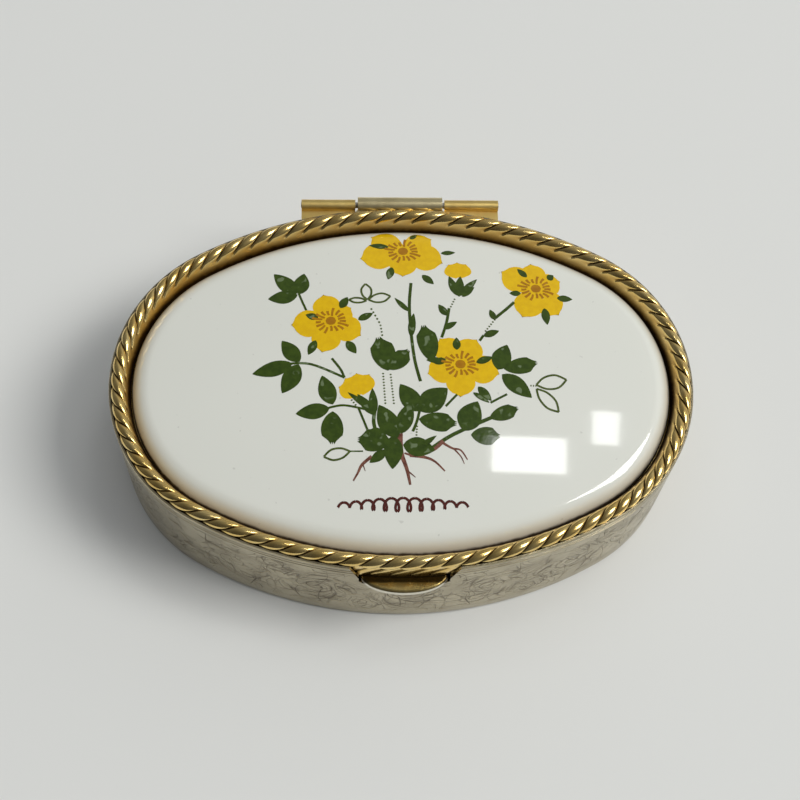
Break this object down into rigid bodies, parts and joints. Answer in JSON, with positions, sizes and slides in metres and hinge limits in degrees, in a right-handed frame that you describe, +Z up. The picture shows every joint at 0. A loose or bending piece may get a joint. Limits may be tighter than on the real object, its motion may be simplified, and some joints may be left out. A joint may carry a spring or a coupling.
{
  "type": "pill box",
  "caption": "Oval hinged pill box: engraved metal pan with a liner cup, rope-edged gilt lid holding a domed porcelain plaque, thumb lip and pin hinge.",
  "frame": {"origin": "centre of the flat underside that the box rests on", "axes": "+X along the box's long axis, +Y towards the hinge at the back, +Z up; the thumb lip faces -Y"},
  "size_m": [0.0552, 0.04, 0.0155],
  "materials": {
    "silvered_wall": "pale worn plating, engraved with scrolls",
    "gilt": "polished gilt brass, tarnished in the grooves",
    "gilt_inside": "brushed gilt brass",
    "steel_pin": "drawn wire",
    "card": "grey-brown card",
    "porcelain": "white glaze with a plant printed under it"
  },
  "bodies": {
    "base": {"outer_pan": "silvered_wall", "liner_cup": "gilt_inside", "base_hinge_leaf": "gilt", "hinge_pin": "steel_pin"},
    "lid": {"lid_hinge_leaf": "gilt", "lid_rim": "gilt", "thumb_lip": "gilt", "lid_pan": "gilt_inside", "packing_card": "card", "porcelain_plaque": "porcelain"}
  },
  "joints": [
    {"name": "lid_hinge", "type": "hinge", "parent": "base", "child": "lid", "pos_m": [0, 0.0193, 0.01375], "axis": [-1, 0, 0], "range_deg": [0, 105]}
  ]
}
